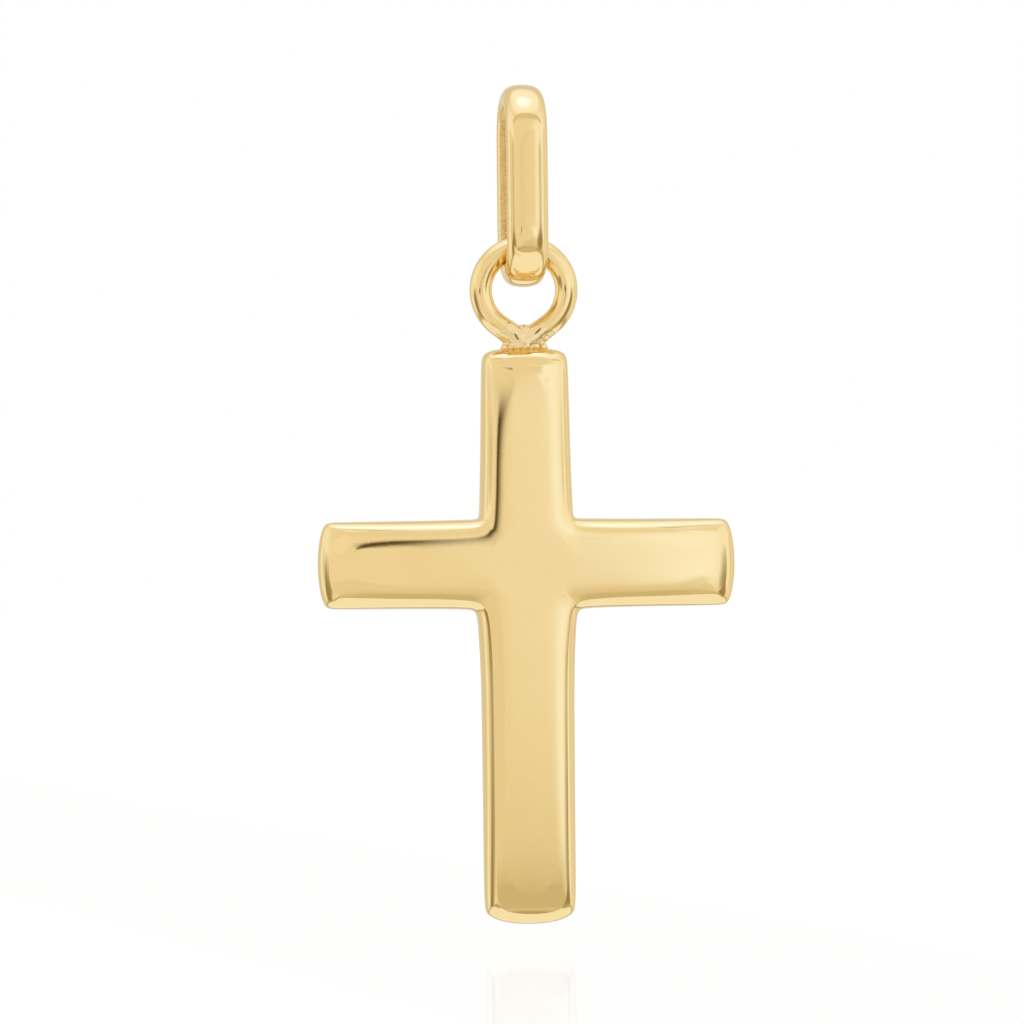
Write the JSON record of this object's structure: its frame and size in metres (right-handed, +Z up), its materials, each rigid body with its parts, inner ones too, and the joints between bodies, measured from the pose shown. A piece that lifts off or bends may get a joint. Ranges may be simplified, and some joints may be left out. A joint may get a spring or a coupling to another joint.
{
  "type": "cross pendant",
  "caption": "Plain polished gold cross pendant with softly pillowed faces, on a soldered wire loop that hangs in an oval slide bail.",
  "frame": {"origin": "inside top of the bail, where a chain carries the pendant", "axes": "+X to the right across the cross, along the chain in the bail; +Y towards the back; +Z up"},
  "size_m": [0.0168, 0.0042, 0.0335],
  "materials": {
    "gold": "mirror polished yellow gold"
  },
  "bodies": {
    "bail": {"bail": "gold"},
    "cross": {"cross": "gold"}
  },
  "joints": [
    {"name": "cross_swing", "type": "hinge", "parent": "bail", "child": "cross", "pos_m": [0, 0, -0.00555], "axis": [1, 0, 0], "range_deg": [-125, 125]}
  ]
}
